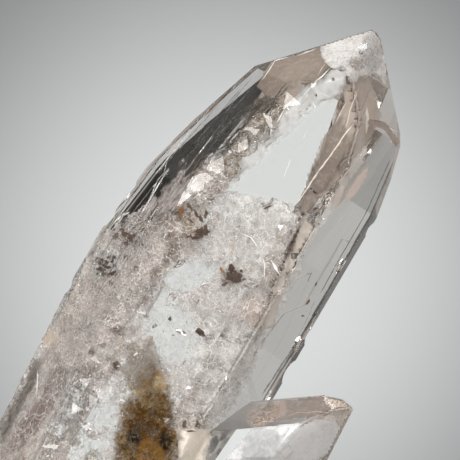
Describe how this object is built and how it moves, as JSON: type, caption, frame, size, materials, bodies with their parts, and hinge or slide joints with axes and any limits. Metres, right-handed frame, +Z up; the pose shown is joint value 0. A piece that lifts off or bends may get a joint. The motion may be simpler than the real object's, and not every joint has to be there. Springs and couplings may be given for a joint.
{
  "type": "himalayan quartz crystal",
  "caption": "Natural Himalayan quartz specimen: a large clear tapering crystal with veils and iron staining, and a small crystal grown into its foot.",
  "frame": {"origin": "centre of the bounding box, on the flat cut that the specimen rests on", "axes": "+Z up, +X towards the side the large crystal leans to and the small crystal points to, -Y the side it is looked at from"},
  "size_m": [0.0782, 0.0396, 0.083],
  "materials": {
    "clear_quartz": "gloss",
    "milky_veil": "satin",
    "iron_stain": "matte",
    "dark_mineral": "matte"
  },
  "bodies": {
    "root": {"quartz_crystal": "clear_quartz"}
  },
  "joints": []
}
